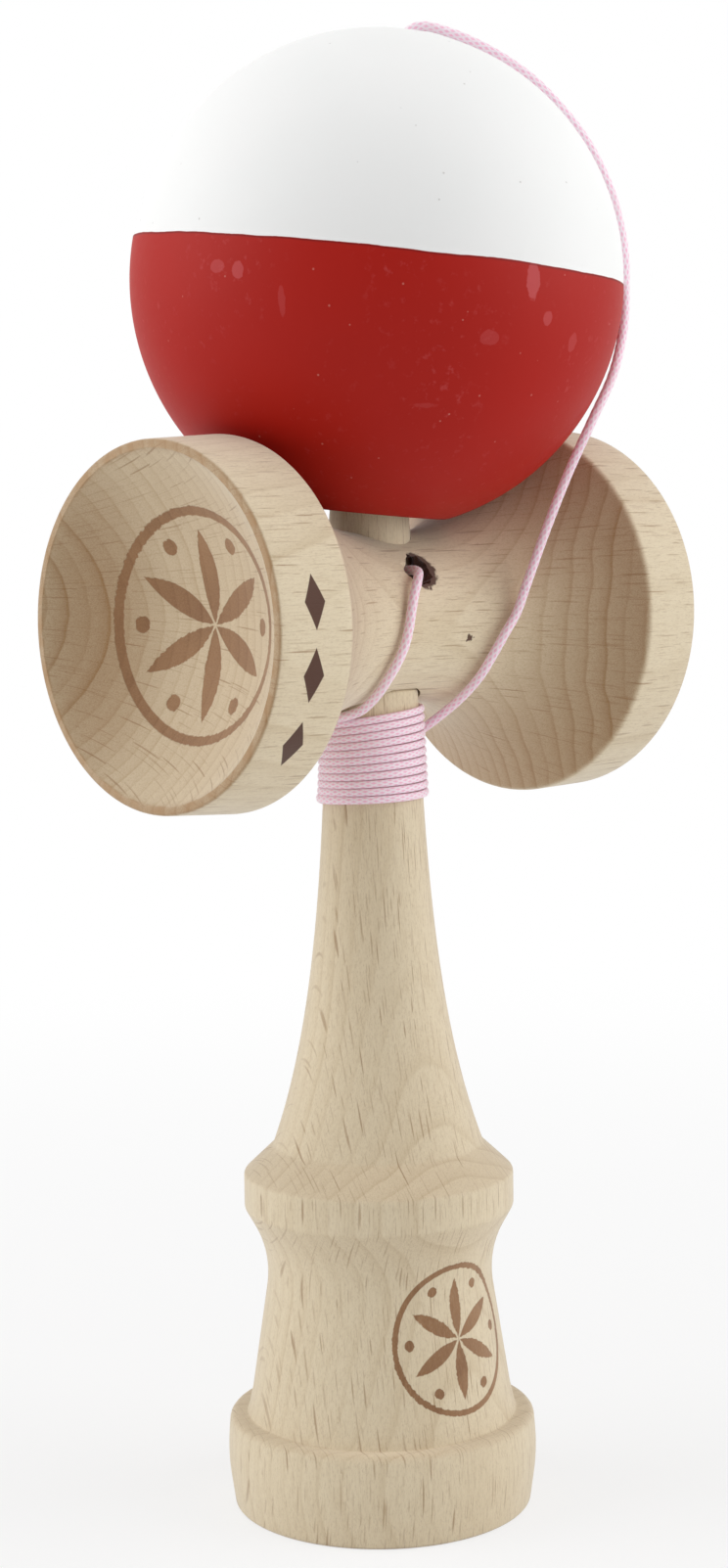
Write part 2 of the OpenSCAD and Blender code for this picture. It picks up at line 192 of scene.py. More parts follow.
def plain_object(name, mesh):
    piece = bpy.data.objects.new(name, mesh)
    bpy.context.scene.collection.objects.link(piece)
    return piece


def face_outwards(mesh):
    """Turns the faces of a closed mesh to point out of it."""
    work = bmesh.new()
    work.from_mesh(mesh)
    bmesh.ops.recalc_face_normals(work, faces=work.faces)
    work.to_mesh(mesh)
    work.free()


def as_mesh(piece, name):
    """The evaluated piece as a plain mesh object at the origin, with its faces pointing outwards."""
    bpy.context.view_layer.update()
    mesh = bpy.data.meshes.new_from_object(
        piece.evaluated_get(bpy.context.evaluated_depsgraph_get())
    )
    bpy.data.objects.remove(piece)
    finish = next(material for material in mesh.materials if material)
    mesh.materials.clear()
    mesh.materials.append(finish)
    mesh.polygons.foreach_set("material_index", [0] * len(mesh.polygons))
    face_outwards(mesh)
    mesh.name = name
    return plain_object(name, mesh)


def turned(name, outline, sides, finish, turn=(0, 0, 0), place=(0, 0, 0)):
    """A piece turned on the lathe from an outline of (radius, height) points in millimetres."""
    mesh = bpy.data.meshes.new(name + "_outline")
    points = [(p[0] * MM, 0, p[1] * MM) for p in outline]
    mesh.from_pydata(points, [(i, i + 1) for i in range(len(points) - 1)], [])
    piece = plain_object(name + "_blank", mesh)
    lathe = piece.modifiers.new("lathe", "NODES")
    lathe.node_group = turned_piece
    for label, value in (
        ("Sides", sides),
        ("Turn", turn),
        ("Place", [x * MM for x in place]),
        ("Sharp Angle", SHARP_ANGLE),
        ("Finish", finish),
    ):
        lathe[turned_inputs[label]] = value
    return as_mesh(piece, name)


def tube_faces(rings, sides):
    """Faces of a closed tube: its wall from ring to ring, and its two ends."""
    wall = [
        (i * sides + k, i * sides + (k + 1) % sides, (i + 1) * sides + (k + 1) % sides, (i + 1) * sides + k)
        for i in range(rings) for k in range(sides)
    ]
    return wall + [tuple(range(sides))[::-1], tuple(rings * sides + k for k in range(sides))]


TEARS_ROUND, TEARS_ALONG = 2.2, 9


def drilled(piece, start, end, radius, rough=0.0, sides=48, rings=24):
    """The piece with a round hole cut from start to end; rough tears the hole's wall a little."""
    a, b = Vector(start) * MM, Vector(end) * MM
    turn = (b - a).to_track_quat("Z", "Y").to_matrix()
    points = []
    for i in range(rings + 1):
        at = i / rings
        for k in range(sides):
            angle = math.tau * k / sides
            side = turn @ Vector((math.cos(angle), math.sin(angle), 0))
            torn = rough * noise.noise(side * TEARS_ROUND + Vector((0, 0, at * TEARS_ALONG)))
            points.append(a.lerp(b, at) + side * (radius + torn) * MM)
    mesh = bpy.data.meshes.new("drill")
    mesh.from_pydata(points, [], tube_faces(rings, sides))
    mesh.materials.append(piece.data.materials[0])
    drill = plain_object("drill", mesh)
    cut = piece.modifiers.new("drill", "BOOLEAN")
    cut.object, cut.operation, cut.solver = drill, "DIFFERENCE", "EXACT"
    done = as_mesh(piece, piece.name)
    bpy.data.objects.remove(drill)
    return done


class Shade:
    """One value in a material's nodes. Arithmetic on it adds Math nodes; node() adds any other kind."""

    def __init__(self, tree, socket):
        self.tree, self.socket = tree, socket

    def node(self, kind, settings=None, sockets=None, out=0):
        made = self.tree.nodes.new(kind)
        for key, value in (settings or {}).items():
            setattr(made, key, value)
        for key, value in (sockets or {}).items():
            if isinstance(value, Shade):
                self.tree.links.new(value.socket, made.inputs[key])
            else:
                made.inputs[key].default_value = value
        return Shade(self.tree, made.outputs[out])

    def out(self, name):
        """Another output of the node that this value comes from."""
        return Shade(self.tree, self.socket.node.outputs[name])

    def math(self, operation, *others):
        return self.node("ShaderNodeMath", {"operation": operation}, dict(enumerate((self, *others))))

    def back(self, operation, other):
        return self.node("ShaderNodeMath", {"operation": operation}, {0: other, 1: self})

    def __add__(self, other): return self.math("ADD", other)
    def __radd__(self, other): return self.math("ADD", other)
    def __sub__(self, other): return self.math("SUBTRACT", other)
    def __rsub__(self, other): return self.back("SUBTRACT", other)
    def __mul__(self, other): return self.math("MULTIPLY", other)
    def __rmul__(self, other): return self.math("MULTIPLY", other)
    def __truediv__(self, other): return self.math("DIVIDE", other)
    def __rtruediv__(self, other): return self.back("DIVIDE", other)
    def __pow__(self, other): return self.math("POWER", other)
    def __abs__(self): return self.math("ABSOLUTE")

    def step(self, low, high):
        """0 below low and 1 above high, with a smooth change between them; low may be the larger."""
        flip = low > high
        low, high = min(low, high), max(low, high)
        ends = (1.0, 0.0) if flip else (0.0, 1.0)
        return self.node(
            "ShaderNodeMapRange",
            {"interpolation_type": "SMOOTHSTEP"},
            {"Value": self, "From Min": low, "From Max": high, "To Min": ends[0], "To Max": ends[1]},
        )

    def mix(self, first, second):
        """The first colour where this value is 0 and the second where it is 1."""
        return self.node("ShaderNodeMix", {"data_type": "RGBA"}, {0: self, 6: first, 7: second}, out=2)

    def split(self):
        parts = self.node("ShaderNodeSeparateXYZ", None, {0: self})
        return [parts.out(axis) for axis in "XYZ"]

    def vector(self, x, y, z):
        return self.node("ShaderNodeCombineXYZ", None, {0: x, 1: y, 2: z})

    def noise(self, scale, detail=2.0, rough=0.5):
        return self.node(
            "ShaderNodeTexNoise", None,
            {"Vector": self, "Scale": scale, "Detail": detail, "Roughness": rough},
        )


def paint(r, g, b):
    """A colour given as it looks, in 0 to 255, for a shader's socket."""
    parts = [c / 255 for c in (r, g, b)]
    return [c / 12.92 if c <= 0.04045 else ((c + 0.055) / 1.055) ** 2.4 for c in parts] + [1.0]


def finish_start(name):
    """A new material and its object coordinates in millimetres."""
    material = bpy.data.materials.new(name)
    material.use_nodes = True
    material.node_tree.nodes.clear()
    tree = material.node_tree
    here = Shade(tree, tree.nodes.new("ShaderNodeTexCoord").outputs["Object"])
    scaled = here.node("ShaderNodeVectorMath", {"operation": "SCALE"}, {0: here, "Scale": 1 / MM})
    return material, scaled


def finish_end(material, sockets):
    tree = material.node_tree
    shader = Shade(tree, None).node("ShaderNodeBsdfPrincipled", None, sockets)
    tree.links.new(shader.socket, tree.nodes.new("ShaderNodeOutputMaterial").inputs["Surface"])
    return material


BEECH_LIGHT, BEECH_LATE, BEECH_END = paint(224, 209, 180), paint(194, 172, 137), paint(148, 107, 62)
BEECH_FLECK, BEECH_RIM, BEECH_MARKS_AND_HOLE_SHADE = paint(140, 100, 62), paint(172, 136, 96), paint(76, 42, 24)
BURN_LIGHT, BURN_DARK = paint(160, 120, 82), paint(122, 83, 52)
RING_WIDTH, RING_DRIFT, RING_WAVE = 1.9, 6.0, 1.1
# Long and short ray flecks: the width and length of wood that each has, a shift that sets the two kinds
# apart, and a strength.
FLECKS = ((0.85, 7.6, 0.0, 1.0), (0.6, 4.0, 40.0, 0.6))
FLECK_LAYER, FLECK_DEEP, FLECK_SLIM, FLECK_LONG = 5.0, 0.75, (0.07, 0.07), (0.18, 0.27)


PETAL_EDGE, ROSETTE_RING, ROSETTE_RING_EDGE = (0.05, 0.2), 1.16, (0.055, 0.04)
ROSETTE_DOT, ROSETTE_DOT_EDGE = (0.80, 0.45), (0.085, 0.07)


def rosette(u, v, size):
    """Mask of a six-petal compass rosette in a ring, in the plane of u and v."""
    radius = (u * u + v * v).math("SQRT")
    turn = u.math("ARCTAN2", v) + (math.pi / 6 + math.tau)
    fold = abs(turn.math("MODULO", math.pi / 3) - math.pi / 6)
    along = radius * fold.math("COSINE")
    aside = radius * fold.math("SINE")
    reach = ((along - size / 2) ** 2.0 + (aside + size * math.sqrt(0.75)) ** 2.0).math("SQRT")
    petal = reach.step(size - PETAL_EDGE[0], size - PETAL_EDGE[1])
    ring = abs(radius - size * ROSETTE_RING).step(*(size * edge for edge in ROSETTE_RING_EDGE))
    dot_off = along - size * ROSETTE_DOT[0], aside - size * ROSETTE_DOT[1]
    dot_away = (dot_off[0] ** 2.0 + dot_off[1] ** 2.0).math("SQRT")
    dot = dot_away.step(*(size * edge for edge in ROSETTE_DOT_EDGE))
    return (petal + ring + dot).math("MINIMUM", 1.0)


def beech(name, grain, pith, middle, end_grain, marks=None):
    """Bare beech. grain is the axis the fibres follow; pith, the growth rings' centre, and middle, the
    piece's own, are places in the other two axes. end_grain is how much the cut fibres darken it; set high,
    as on the cross-piece, it also paints shade on slanting faces. marks gives the burned, the torn and the
    worn areas, painted shade in cord holes, and painted light and shade that lighten or darken the end
    grain."""
    material, here = finish_start(name)
    axes = here.split()
    along = axes[grain]
    u = axes[(grain + 1) % 3] - pith[0]
    v = axes[(grain + 2) % 3] - pith[1]
    away = math.dist(pith, middle)
    out = [(m - p) / away for m, p in zip(middle, pith)]

    def grown(across, lengthwise, detail=2.0, rough=0.5):
        """Noise drawn out along the fibres, with its fineness across and along them per millimetre."""
        return here.vector(u * across, v * across, along * lengthwise).noise(1.0, detail, rough)

    drift, wave = grown(0.035, 0.012) - 0.5, grown(0.16, 0.04) - 0.5
    reach = (u * u + v * v).math("SQRT") + drift * RING_DRIFT + wave * RING_WAVE
    turn = (v * out[0] - u * out[1]).math("ARCTAN2", u * out[0] + v * out[1]) * away
    ring = reach / RING_WIDTH
    year = ring.node("ShaderNodeTexWhiteNoise", {"noise_dimensions": "1D"}, {"W": ring.math("FLOOR")})
    season = ring.math("FRACT")
    late = season.step(0.1, 0.97) * 0.45 + season.step(0.7, 0.96) * 0.55
    late = late * season.step(1.0, 0.9) * (0.25 + 0.75 * year)
    fibre, grit = grown(4.2, 0.3, 3.0, 0.65), grown(8.0, 1.8, 2.0, 0.7)
    cloud = grown(0.09, 0.03)
    fleck = 0.0
    for wide, tall, shift, strength in FLECKS:
        place = here.vector(reach / FLECK_LAYER + shift, turn / wide, along / tall)
        cell = place.node("ShaderNodeTexVoronoi", None, {"Vector": place, "Scale": 1.0})
        off = place.node(
            "ShaderNodeVectorMath", {"operation": "SUBTRACT"}, {0: place, 1: cell.out("Position")}
        ).split()
        chance = cell.node("ShaderNodeSeparateColor", None, {0: cell.out("Color")})
        slim = FLECK_SLIM[0] + FLECK_SLIM[1] * chance.out("Green")
        long = FLECK_LONG[0] + FLECK_LONG[1] * chance.out("Blue")
        far = (off[0] / FLECK_DEEP) ** 2.0 + (off[1] / slim) ** 2.0 + (off[2] / long) ** 2.0
        fleck = far.step(1.0, 0.1) * ((0.3 + 0.7 * chance.out("Red")) * strength) + fleck
    # End grain darkens where a face cuts across the fibres; with end_grain set high, as on the cross-piece,
    # it also paints shade on its flanks and cup walls.
    facing = here.node("ShaderNodeTexCoord", out="Normal").split()[grain]
    cut = facing * facing * (1 - 0.5 * facing ** 4.0) * end_grain
    burn, dark, rim, cup_light_and_shade = marks(here, axes) if marks else (None, None, None, None)
    # Painted light and shade: on the cross-piece this lightens the end grain in the small cup's middle and
    # darkens its far wall.
    if cup_light_and_shade is not None:
        cut = cut * (1 - cup_light_and_shade)
    colour = (late * 0.5 + (cloud - 0.5) * 0.45).mix(BEECH_LIGHT, BEECH_LATE)
    colour = ((fibre - 0.45) * 1.2).math("MAXIMUM", 0.0).mix(colour, BEECH_LATE)
    colour = (grit.step(0.48, 0.75) * 0.25).mix(colour, BEECH_FLECK)
    colour = (fleck.math("MINIMUM", 1.0) * 0.6).mix(colour, BEECH_FLECK)
    colour = (cut * (0.8 + 0.35 * late + 0.6 * (grit - 0.5))).mix(colour, BEECH_END)
    if rim is not None:
        patch = here.noise(0.45, 3.0).step(0.35, 0.7)
        worn = rim * (0.12 + 0.7 * patch + 0.4 * (grit - 0.5))
        colour = worn.math("MAXIMUM", 0.0).mix(colour, BEECH_RIM)
    rise = fibre * 0.012 + grit * 0.012 - fleck * 0.025
    if burn is not None:
        scorch = (fibre * 0.8 + late * 0.4 + (cloud - 0.5)).mix(BURN_LIGHT, BURN_DARK)
        colour = (burn * (0.82 + 0.3 * grit)).math("MINIMUM", 1.0).mix(colour, scorch)
        rise = rise - burn * 0.06
    # dark holds the torn and burned marks, and the painted shade in the cord holes.
    if dark is not None:
        colour = dark.mix(colour, BEECH_MARKS_AND_HOLE_SHADE)
    bump = here.node("ShaderNodeBump", None, {"Strength": 0.6, "Distance": 0.001, "Height": rise})
    return finish_end(material, {
        "Base Color": colour,
        "Roughness": 0.6 + 0.12 * grit + 0.1 * late,
        "Normal": bump,
        "Specular IOR Level": 0.25,
        "Sheen Weight": 0.35,
    })


BASE_MARK_TURN, BASE_MARK_Z, BASE_MARK_SIZE, BASE_MARK_REACH = -95.0, 23.6, 7.6, 15.2
BASE_MARK_WIDE, BASE_MARK_INNER = (1.0, 0.9), (10.0 ** 2, 11.0 ** 2)
SPIKE_HOLE_R, SPIKE_HOLE_SHADE, FOOT_WEAR = 1.2, (2.6, 1.9), (0.25, 0.05)


def ken_marks(here, axes):
    """The rosette on the handle, painted shade in the spike's cord hole, and the worn foot."""
    x, y, z = axes
    turn = y.math("ARCTAN2", x) - math.radians(BASE_MARK_TURN)
    front = abs(turn).step(*BASE_MARK_WIDE) * (x * x + y * y).step(*BASE_MARK_INNER)
    frayed = (here.noise(2.2, 2.0) - 0.5) * 0.35
    burn = rosette(turn * BASE_MARK_REACH + frayed, z - BASE_MARK_Z + frayed, BASE_MARK_SIZE) * front
    # Painted shade inside the spike's cord hole and round its mouths.
    dark = (x * x + (z - CORD_Z) ** 2.0).step(*SPIKE_HOLE_SHADE)
    return burn, dark, z.step(*FOOT_WEAR), None


foot, bulge, base_edge = (FOOT_R, 0), (BULGE_R, BULGE_Z), (BASE_TOP_R, BASE_H)
body_foot, waist, collar = (BODY_R, BODY_Z), (WAIST_R, WAIST_Z), (COLLAR_R, COLLAR_LOW)
FLARE_STEPS = 60
flare = [
    (neck_r(z), z, 0)
    for z in np.linspace(FLARE_Z, SHOULDER_Z, FLARE_STEPS + 1)[1:-1].tolist()
]
ken_outline = bowl(BASE_CUP_R, BASE_CUP_DEPTH)[:-1] + rounded(
    [
        (BASE_CUP_R, 0, 0),
        (*foot, FOOT_ROUND),
        (*bulge, corner_round(foot, bulge, base_edge, BULGE_SHARE)),
        (*base_edge, BASE_ROUND),
        (HEEL_R, BASE_H, HEEL_ROUND),
        (*body_foot, BODY_ROUND),
        (*waist, corner_round(body_foot, waist, collar, WAIST_SHARE)),
        (*collar, COLLAR_ROUND[0]),
        (COLLAR_R, COLLAR_TOP, COLLAR_ROUND[1]),
        (FLARE_R, FLARE_Z, FLARE_ROUND),
    ]
    + flare
    + [
        (NECK_R, SHOULDER_Z, SHOULDER_ROUND),
        (SPIKE_R, SHOULDER_Z, 0),
        (SPIKE_R, SPIKE_TAPER_Z, TAPER_ROUND),
        (TIP_R, TIP_Z, TIP_ROUND),
        (0, TIP_Z, 0),
    ]
)
ken_beech = beech(
    "ken_beech", grain=2, pith=(6.0, 47.0), middle=(0.0, 0.0), end_grain=0.35, marks=ken_marks
)
ken = turned("ken_turned", ken_outline, sides=144, finish=ken_beech)
DRILL_PAST = 8
ken = drilled(ken, (0, DRILL_PAST, CORD_Z), (0, -DRILL_PAST, CORD_Z), SPIKE_HOLE_R)
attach(ken, "ken")
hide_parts("ken")

# The sarado: the cross-piece, one turned piece of beech with a small and a big cup. It slides down the
# spike onto the ken's shoulder, and the cord comes out of a drilled hole in its side.

SARADO_Z = 110.496
SMALL_X, SMALL_R, SMALL_EDGE_R, SMALL_EDGE_X = -34.7, 21.35, 22.0, -24.4
BIG_X, BIG_R, BIG_EDGE_R, BIG_EDGE_X = 34.4, 23.0, 23.2, 25.5
SMALL_MOUTH, SMALL_DEPTH, BIG_MOUTH, BIG_DEPTH = 20.35, 9.5, 21.9, 10.5
CROSS_WAIST_R, CROSS_WAIST_X, FLANK_POWER = 10.2, 2.1, 2.6
RIM_ROUND, EDGE_ROUND = 0.4, 1.0
BORE_R, SEAT_R, CORD_HOLE_R = 5.05, 5.95, 1.8
LOZENGE_X, LOZENGE_TURNS, LOZENGE_HALF = -29.6, (-81.8, -103.4, -126.1), (1.5, 3.3)
BAND_INNER, RIM_WEAR, RIM_INNER = (20.7, 20.9), (0.25, 0.05), (20.0, 20.2)
CUP_MARK_SIZE, CUP_MARK_REACH, SMALL_FLOOR = 11.4, (15.0, 14.7), (10.5, 9.8)
HOLE_TEAR, HOLE_TEAR_AND_SHADE, HOLE_DEEP = (0.6, -0.1), (2.3, 1.9), (-4.6, -5.2)
NICK, NICK_R = (7.0, -10.1, 107.9), (0.45, 0.3)
# Reach, strength and fall of the painted light and shade in the small cup's hollow.
PAINTED_CUP_REACH, PAINTED_CUP_LIGHT, PAINTED_CUP_FALL, PAINTED_CUP_SIDE = (20.8, 19.5), 0.57, 0.7, (5.0, 17.0)
FLANK_STEPS = 60, 50


def flank(x, edge_x, edge_r):
    """Radius of the cross-piece between its waist and a cup's edge."""
    share = (x - CROSS_WAIST_X) / (edge_x - CROSS_WAIST_X)
    return CROSS_WAIST_R + (edge_r - CROSS_WAIST_R) * share ** FLANK_POWER


def sarado_marks(here, axes):
    """The rosette in the small cup, the lozenges on its band, the torn hole with painted shade inside it,
    the worn rims, and painted light and shade in the small cup's hollow.
    """
    x, y, height = axes
    z, up = height - SARADO_Z, height - CORD_Z
    radius = (y * y + z * z).math("SQRT")
    small_bowl = x.step(SMALL_X + SMALL_FLOOR[0], SMALL_X + SMALL_FLOOR[1])
    frayed = (here.noise(1.8, 2.0) - 0.5) * 0.4
    burn = rosette(y + frayed, z + frayed, CUP_MARK_SIZE) * (small_bowl * radius.step(*CUP_MARK_REACH))
    turn = y.math("ARCTAN2", z)
    lozenges = 0.0
    for angle in LOZENGE_TURNS:
        aside = abs(turn - math.radians(angle)) * SMALL_EDGE_R
        lozenge = abs(x - LOZENGE_X) / LOZENGE_HALF[0] + aside / LOZENGE_HALF[1]
        lozenges = lozenge.step(1.0, 0.93) + lozenges
    small_rim = x.step(SMALL_X + RIM_WEAR[0], SMALL_X + RIM_WEAR[1])
    big_rim = x.step(BIG_X - RIM_WEAR[0], BIG_X - RIM_WEAR[1])
    torn = here.noise(1.3, 3.0) - 0.5
    # The cord hole's right edge is painted dark brown for its torn fibres, and its wall inside as painted
    # shade.
    near = ((x - HOLE_TEAR[0]) ** 2.0 + (up - HOLE_TEAR[1]) ** 2.0).math("SQRT") + torn * 1.4
    hole = near.step(*HOLE_TEAR_AND_SHADE) * y.step(*HOLE_DEEP)
    nick = sum((p - at) ** 2.0 for p, at in zip(axes, NICK)).math("SQRT") + torn * 1.6
    dark = hole + nick.step(*NICK_R) * 0.96 + lozenges * radius.step(*BAND_INNER)
    rim = (small_rim + big_rim) * radius.step(*RIM_INNER)
    # Painted light and shade in the small cup: less end-grain darkening in its middle, more on its far (+y)
    # wall.
    cup_light_and_shade = small_bowl * radius.step(*PAINTED_CUP_REACH) * (PAINTED_CUP_LIGHT - PAINTED_CUP_FALL * y.step(*PAINTED_CUP_SIDE))
    return burn, dark.math("MINIMUM", 1.0), rim, cup_light_and_shade


sarado_outline = [(r, SMALL_X + d) for r, d in bowl(SMALL_MOUTH, SMALL_DEPTH)[:-1]]
left_flank = np.linspace(SMALL_EDGE_X, CROSS_WAIST_X, FLANK_STEPS[0])[1:].tolist()
right_flank = np.linspace(CROSS_WAIST_X, BIG_EDGE_X, FLANK_STEPS[1])[1:-1].tolist()
sarado_outline += rounded(
    [
        (SMALL_MOUTH, SMALL_X, 0),
        (SMALL_R, SMALL_X, RIM_ROUND),
        (SMALL_EDGE_R, SMALL_EDGE_X, EDGE_ROUND),
    ]
    + [(flank(x, SMALL_EDGE_X, SMALL_EDGE_R), x, 0) for x in left_flank]
    + [(flank(x, BIG_EDGE_X, BIG_EDGE_R), x, 0) for x in right_flank]
    + [
        (BIG_EDGE_R, BIG_EDGE_X, EDGE_ROUND),
        (BIG_R, BIG_X, RIM_ROUND),
        (BIG_MOUTH, BIG_X, 0),
    ]
)
sarado_outline += [(r, BIG_X - d) for r, d in reversed(bowl(BIG_MOUTH, BIG_DEPTH)[:-1])]
# end_grain is set high here: besides the darker cut fibres it paints the shade on the flanks and in the
# cups.
sarado_beech = beech(
    "sarado_beech", grain=0, pith=(52.0, SARADO_Z + 4), middle=(0.0, SARADO_Z), end_grain=1.45,
    marks=sarado_marks,
)
sarado = turned(
    "sarado_turned", sarado_outline, sides=160, finish=sarado_beech,
    turn=(0, math.pi / 2, 0), place=(0, 0, SARADO_Z),
)
BELOW, ABOVE, OUTSIDE, IN_BORE = 90, 132, 12, 4
SPLINTER_X, SPLINTER_Z, SPLINTER_DEEP, SPLINTER_R = -0.9, CORD_Z + 0.3, 7.7, 1.7
sarado = drilled(sarado, (0, 0, BELOW), (0, 0, ABOVE), BORE_R, sides=96)
sarado = drilled(sarado, (0, 0, BELOW), (0, 0, SHOULDER_Z), SEAT_R, sides=96)
sarado = drilled(sarado, (0, OUTSIDE, CORD_Z), (0, IN_BORE, CORD_Z), CORD_HOLE_R)
sarado = drilled(sarado, (0, -OUTSIDE, CORD_Z), (0, -IN_BORE, CORD_Z), CORD_HOLE_R, rough=0.5)
sarado = drilled(
    sarado, (SPLINTER_X, -OUTSIDE, SPLINTER_Z), (SPLINTER_X, -SPLINTER_DEEP, SPLINTER_Z), SPLINTER_R,
    rough=0.4,
)
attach(sarado, "sarado")
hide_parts("sarado")

# The cord: one braided cord of pale pink thread. Its first end is knotted behind the spike; it leaves the
# hole in the sarado, runs down to the neck, is wound round it, crosses over the turns and goes up again.

WIND_TURNS, WIND_PITCH, WIND_DROP = 11, 0.96, 2.7
WIND_TILT = (0.77, 0.05)
WIND_OFF, CROSS_OFF = 0.37, 0.95
FIRST_TURN, RIGHT_SIDE, LAST_TURN, LEAVE_TURN = 180, -45, 115, 21
CROSS_RISE, CROSS_POWER, CROSS_CLIMB = 5.35, 2.6, 0.35
LEAD_IN, LEAD_IN_SHARE = 0.35, 0.5
STRAIGHT, STRAIGHT_END = 0.6, 1.4
WIND_END = WIND_TURNS + (FIRST_TURN - LAST_TURN) / 360


def ease(t):
    t = min(1.0, max(0.0, t))
    return t * t * (3 - 2 * t)


def polar(r, degrees, z):
    a = math.radians(degrees)
    return Vector((r * math.cos(a), r * math.sin(a), z))


def turn_z(u):
    """Height of the winding after u turns; the upper turns lean more than the lower ones."""
    tilt = WIND_TILT[0] + (WIND_TILT[1] - WIND_TILT[0]) * u / WIND_END
    lean = math.cos(math.radians(FIRST_TURN - 360 * u - RIGHT_SIDE))
    return SHOULDER_Z - WIND_DROP - WIND_PITCH * u + tilt * lean


def turn_point(u):
    z = turn_z(u)
    r = neck_r(z) + WIND_OFF + LEAD_IN * max(0, 1 - u / LEAD_IN_SHARE) ** 2
    return polar(r, FIRST_TURN - 360 * u, z)


def cross_point(s):
    """A point of the stretch that crosses over the turns, from 0 at its start to 1 where it leaves."""
    z = turn_z(WIND_END) + CROSS_RISE * s ** CROSS_POWER
    r = neck_r(z) + WIND_OFF + CROSS_OFF * ease(s / CROSS_CLIMB)
    return polar(r, LAST_TURN + (LEAVE_TURN - LAST_TURN) * s, z)


def smooth(points, steps=16):
    """A smooth curve through the points of a route."""
    line, last = [], len(points) - 1
    for i in range(last):
        a, b, c, d = (points[k] for k in (max(i - 1, 0), i, i + 1, min(i + 2, last)))
        for j in range(steps):
            t = j / steps
            square, cube = 2 * a - 5 * b + 4 * c - d, 3 * b - a - 3 * c + d
            line.append(0.5 * (2 * b + (c - a) * t + square * t ** 2 + cube * t ** 3))
    return line + [points[last]]


def far_along(line):
    """How far along a line each of its points is."""
    return np.concatenate([[0], np.cumsum(np.linalg.norm(np.diff(line, axis=0), axis=1))])


def spaced(line, step):
    """The line again, with evenly spaced points, and how far along each is."""
    line = np.array(line, float)
    far = far_along(line)
    at = np.linspace(0, far[-1], max(2, round(far[-1] / step) + 1))
    return np.stack([np.interp(at, far, line[:, k]) for k in range(3)], axis=1), at


PLAITS, PLAIT_LENGTH, RELIEF, RELIEF_MIDDLE = 6, 1.3, 0.022, 0.55
CORD_SIDES, CORD_STEP = 24, 0.15
BRAID_VALLEY_SHADE, BRAID_TOP_LIGHT, BRAID_WORN = paint(254, 196, 221), paint(255, 238, 248), paint(252, 224, 233)
BRAID_GAP_SHADE, THREADS, WOUND_FADE = paint(208, 112, 148), 3.0, 8.0


def braid(name, line, halves, first_out, material, begin=0.0):
    """A braided tube along a line in millimetres. halves gives its half width outwards and sideways at each
    point, and first_out the outward direction at the start, or one for every point."""
    count = len(line)
    way = np.gradient(line, axis=0)
    way /= np.linalg.norm(way, axis=1)[:, None]
    out = np.zeros_like(line)
    guide = np.array(first_out, float)
    for i in range(count):
        o = guide[i] if guide.ndim == 2 else (guide if i == 0 else out[i - 1])
        o = o - way[i] * (o @ way[i])
        out[i] = o / np.linalg.norm(o)
    aside = np.cross(way, out)
    far = far_along(line) + begin
    angle = np.arange(CORD_SIDES) * math.tau / CORD_SIDES
    twist = math.tau * far / PLAIT_LENGTH
    one = np.sin(PLAITS * angle[None, :] + twist[:, None])
    two = np.sin(PLAITS * angle[None, :] - twist[:, None])
    lift = RELIEF * (np.maximum(one, two) - RELIEF_MIDDLE)
    wide = halves[:, 0, None] + lift
    slim = halves[:, 1, None] + lift
    points = (
        line[:, None, :]
        + (wide * np.cos(angle))[..., None] * out[:, None, :]
        + (slim * np.sin(angle))[..., None] * aside[:, None, :]
    ).reshape(-1, 3) * MM
    n = CORD_SIDES
    places = [
        (share, along)
        for i in range(count - 1) for k in range(n)
        for share, along in (
            (k / n, far[i]), ((k + 1) / n, far[i]), ((k + 1) / n, far[i + 1]), (k / n, far[i + 1])
        )
    ]
    places += [(k / n, far[0]) for k in range(n)] + [(k / n, far[-1]) for k in range(n)]
    mesh = bpy.data.meshes.new(name)
    mesh.from_pydata(points.tolist(), [], tube_faces(count - 1, n))
    mesh.uv_layers.new(name="braid").data.foreach_set("uv", np.array(places, np.float32).ravel())
    mesh.polygons.foreach_set("use_smooth", [True] * len(mesh.polygons))
    mesh.materials.append(material)
    face_outwards(mesh)
    return plain_object(name, mesh)


